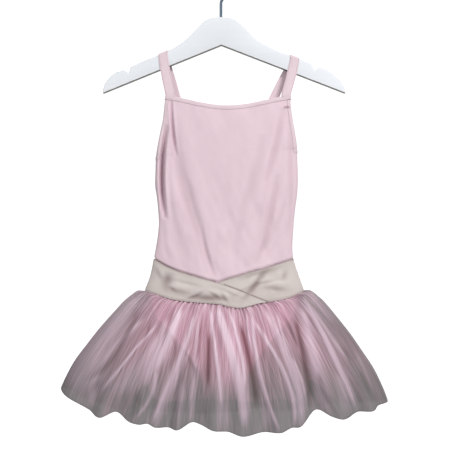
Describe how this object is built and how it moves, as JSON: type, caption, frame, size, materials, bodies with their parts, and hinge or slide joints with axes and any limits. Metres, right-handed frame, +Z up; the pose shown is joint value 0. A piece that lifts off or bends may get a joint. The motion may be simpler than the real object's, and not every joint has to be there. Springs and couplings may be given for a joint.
{
  "type": "skirted ballet leotard on a wooden hanger",
  "caption": "Child's camisole ballet leotard with a crossed satin waistband and a gathered tulle skirt, hung by its straps on a flat wooden hanger with a wire hook",
  "frame": {"origin": "inside of the hook's crown, where a rail carries the hanger", "axes": "+Z up, +X to the right as seen from the front, the garment's front faces -Y"},
  "size_m": [0.4261, 0.1453, 0.6006],
  "materials": {
    "painted_wood": "satin white paint",
    "hook_wire": "dark plated wire",
    "jersey": "fine matt jersey, pale pink",
    "binding": "folded jersey strip, pale pink",
    "satin": "duchess satin, pale beige grey",
    "skirt_net": "fine soft net, dusty mauve",
    "underskirt_net": "fine soft net, pink"
  },
  "bodies": {
    "root": {"hanger_body": "painted_wood", "hanger_hook": "hook_wire", "bodice_front": "jersey", "bodice_back": "jersey", "neck_binding_front": "binding", "neck_binding_back": "binding", "armhole_binding_left": "binding", "armhole_binding_right": "binding", "strap_left": "binding", "strap_right": "binding", "waistband_front_over": "satin", "waistband_front_under": "satin", "waistband_back": "satin", "skirt_outer_front": "skirt_net", "skirt_outer_back": "skirt_net", "skirt_inner_front": "underskirt_net", "skirt_inner_back": "underskirt_net", "brief_front": "jersey", "brief_back": "jersey"}
  },
  "joints": []
}
